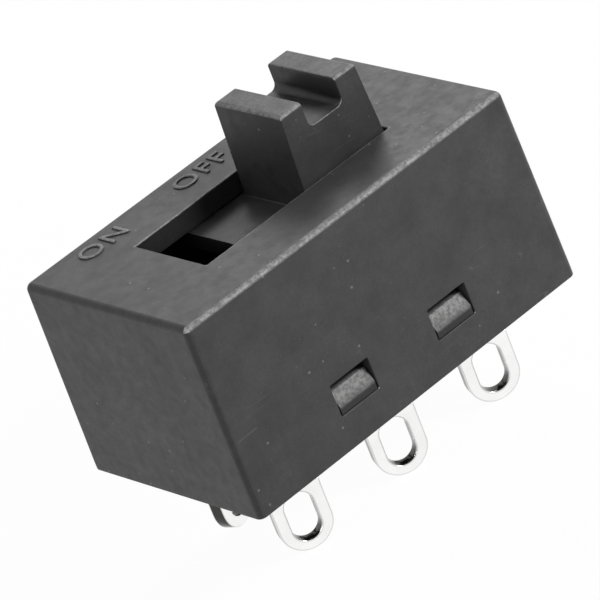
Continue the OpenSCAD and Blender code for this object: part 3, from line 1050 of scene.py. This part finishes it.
class SLIDESWITCH_OT_moving_contacts(bpy.types.Operator):
    """Give the moving contacts and the detent ball their metals"""

    bl_idname = "slide_switch.moving_contacts"
    bl_label = "Moving contacts and ball"

    def execute(self, context):
        finish = settings().finish
        bronze = metal("spring_bronze", finish.bronze, 0.3, 12000)
        steel = metal("polished_ball", finish.ball_steel, 0.14, 20000, 0.95)
        wanted = {"moving_contact_near": bronze, "moving_contact_far": bronze, "detent_ball": steel}
        for node, material in wanted.items():
            frame["nodes"][node].material_slots[0].material = material
        return {"FINISHED"}


# Name, direction from the switch, distance and width in metres, and the setting of the power.
LAMPS = (
    ("key_lamp", (0.53, 0.53, 0.662), 0.2, 0.067, "key_power"),
    ("fill_lamp", (0.466, -0.703, 0.511), 0.3, 0.08, "fill_power"),
    ("side_lamp", (-0.95, 0.05, 0.3), 0.3, 0.12, "side_power"),
)
FLOOR_REACH = 3.0
FLOOR_GLOW = 1.04
VIEW_START = 0.01
VIEW_END = 10.0


def area_lamp(name, direction, distance, width, watts):
    """A square area lamp that points at the middle of the housing from one direction."""
    data = bpy.data.lights.new(name, "AREA")
    data.size = width
    data.energy = watts
    lamp = bpy.data.objects.new(name, data)
    away = Vector(direction).normalized()
    lamp.location = Vector((0.0, 0.0, (RIM_HEIGHT + TOP_HEIGHT) / 2)) + away * distance
    lamp.rotation_euler = (-away).to_track_quat("-Z", "Y").to_euler()
    bpy.context.scene.collection.objects.link(lamp)


def seen_white(tree):
    """1 for rays from the camera, from gloss and through glass, and 0 for light that falls on things."""
    path = add(tree, "ShaderNodeLightPath").outputs
    return largest(tree, path["Is Camera Ray"], path["Is Glossy Ray"], path["Is Transmission Ray"])


class SLIDESWITCH_OT_stage(bpy.types.Operator):
    """Set up the camera, the soft lamps, the white surroundings and the floor"""

    bl_idname = "slide_switch.stage"
    bl_label = "Stage"

    def execute(self, context):
        stage = settings().stage
        self.place_camera(context, stage)
        for name, direction, distance, width, setting in LAMPS:
            area_lamp(name, direction, distance, width, getattr(stage, setting))
        self.make_sky(context, stage)
        self.make_floor(context, stage)
        context.scene.view_settings.view_transform = "Standard"
        return {"FINISHED"}

    def place_camera(self, context, stage):
        """Puts the camera at its azimuth and elevation, rolled about its line of sight."""
        data = bpy.data.cameras.new("camera")
        data.lens = stage.lens
        data.clip_start = VIEW_START
        data.clip_end = VIEW_END
        camera = bpy.data.objects.new("camera", data)
        level = math.cos(stage.elevation)
        back = Vector((
            math.sin(stage.azimuth) * level, -math.cos(stage.azimuth) * level, math.sin(stage.elevation)
        ))
        turn = (-back).to_track_quat("-Z", "Y").to_matrix() @ Euler((0.0, 0.0, stage.roll)).to_matrix()
        camera.matrix_world = Matrix.Translation(Vector(stage.aim) + back * stage.distance) @ turn.to_4x4()
        context.scene.collection.objects.link(camera)
        context.scene.camera = camera

    def make_sky(self, context, stage):
        """White where it is seen, and a soft grey light elsewhere."""
        world = bpy.data.worlds.new("surroundings")
        world.use_nodes = True
        tree = world.node_tree
        tree.nodes.clear()
        strength = remap(tree, seen_white(tree), 0.0, 1.0, stage.sky, 1.0)
        light = add(tree, "ShaderNodeBackground", {"Color": (1.0, 1.0, 1.0, 1.0), "Strength": strength})
        add(tree, "ShaderNodeOutputWorld", {"Surface": light.outputs[0]})
        context.scene.world = world

    def make_floor(self, context, stage):
        """A wide white floor that keeps a faint shadow."""
        shape = bmesh.new()
        bmesh.ops.create_grid(shape, x_segments=1, y_segments=1, size=FLOOR_REACH)
        material, tree = new_material("white_floor")
        shade = stage.floor_bounce
        lit = add(tree, "ShaderNodeBsdfDiffuse", {"Color": (shade, shade, shade, 1.0)})
        white = add(tree, "ShaderNodeEmission", {"Color": (1.0, 1.0, 1.0, 1.0), "Strength": FLOOR_GLOW})
        part = times(tree, seen_white(tree), stage.floor_white)
        mixed = add(tree, "ShaderNodeMixShader", {0: part, 1: lit.outputs[0], 2: white.outputs[0]})
        add(tree, "ShaderNodeOutputMaterial", {"Surface": mixed.outputs[0]})
        floor = piece_from_bmesh("floor", shape, material)


class SLIDESWITCH_PT_sidebar(bpy.types.Panel):
    """Sidebar panel with the settings and the building steps"""

    bl_idname = "SLIDESWITCH_PT_sidebar"
    bl_label = "Slide Switch"
    bl_space_type = "VIEW_3D"
    bl_region_type = "UI"
    bl_category = "Slide Switch"

    def draw(self, context):
        for step in STEPS:
            self.layout.operator(step.bl_idname)
        for group_name in SlideSwitchSettings.__annotations__:
            group = getattr(settings(), group_name)
            box = self.layout.box()
            box.label(text=group_name.capitalize())
            for key in group.__annotations__:
                box.prop(group, key)


GROUPS = (
    MouldingSizes, TerminalSizes, StudSizes, SpringSizes, Finishes, StageSettings, SlideSwitchSettings,
)
STEPS = (
    SLIDESWITCH_OT_housing,
    SLIDESWITCH_OT_legend,
    SLIDESWITCH_OT_base,
    SLIDESWITCH_OT_slider,
    SLIDESWITCH_OT_terminals,
    SLIDESWITCH_OT_studs,
    SLIDESWITCH_OT_springs,
    SLIDESWITCH_OT_moving_contacts,
    SLIDESWITCH_OT_stage,
)
CLASSES = GROUPS + STEPS + (SLIDESWITCH_PT_sidebar,)


def register():
    """Registers the settings, the building steps and the panel."""
    for kind in CLASSES:
        bpy.utils.register_class(kind)
    bpy.types.Scene.slide_switch = PointerProperty(type=SlideSwitchSettings)


def unregister():
    """Takes them all away again."""
    del bpy.types.Scene.slide_switch
    for kind in reversed(CLASSES):
        bpy.utils.unregister_class(kind)


def main():
    register()
    for step in STEPS:
        group, name = step.bl_idname.split(".")
        getattr(getattr(bpy.ops, group), name)()


if __name__ == "__main__":
    main()
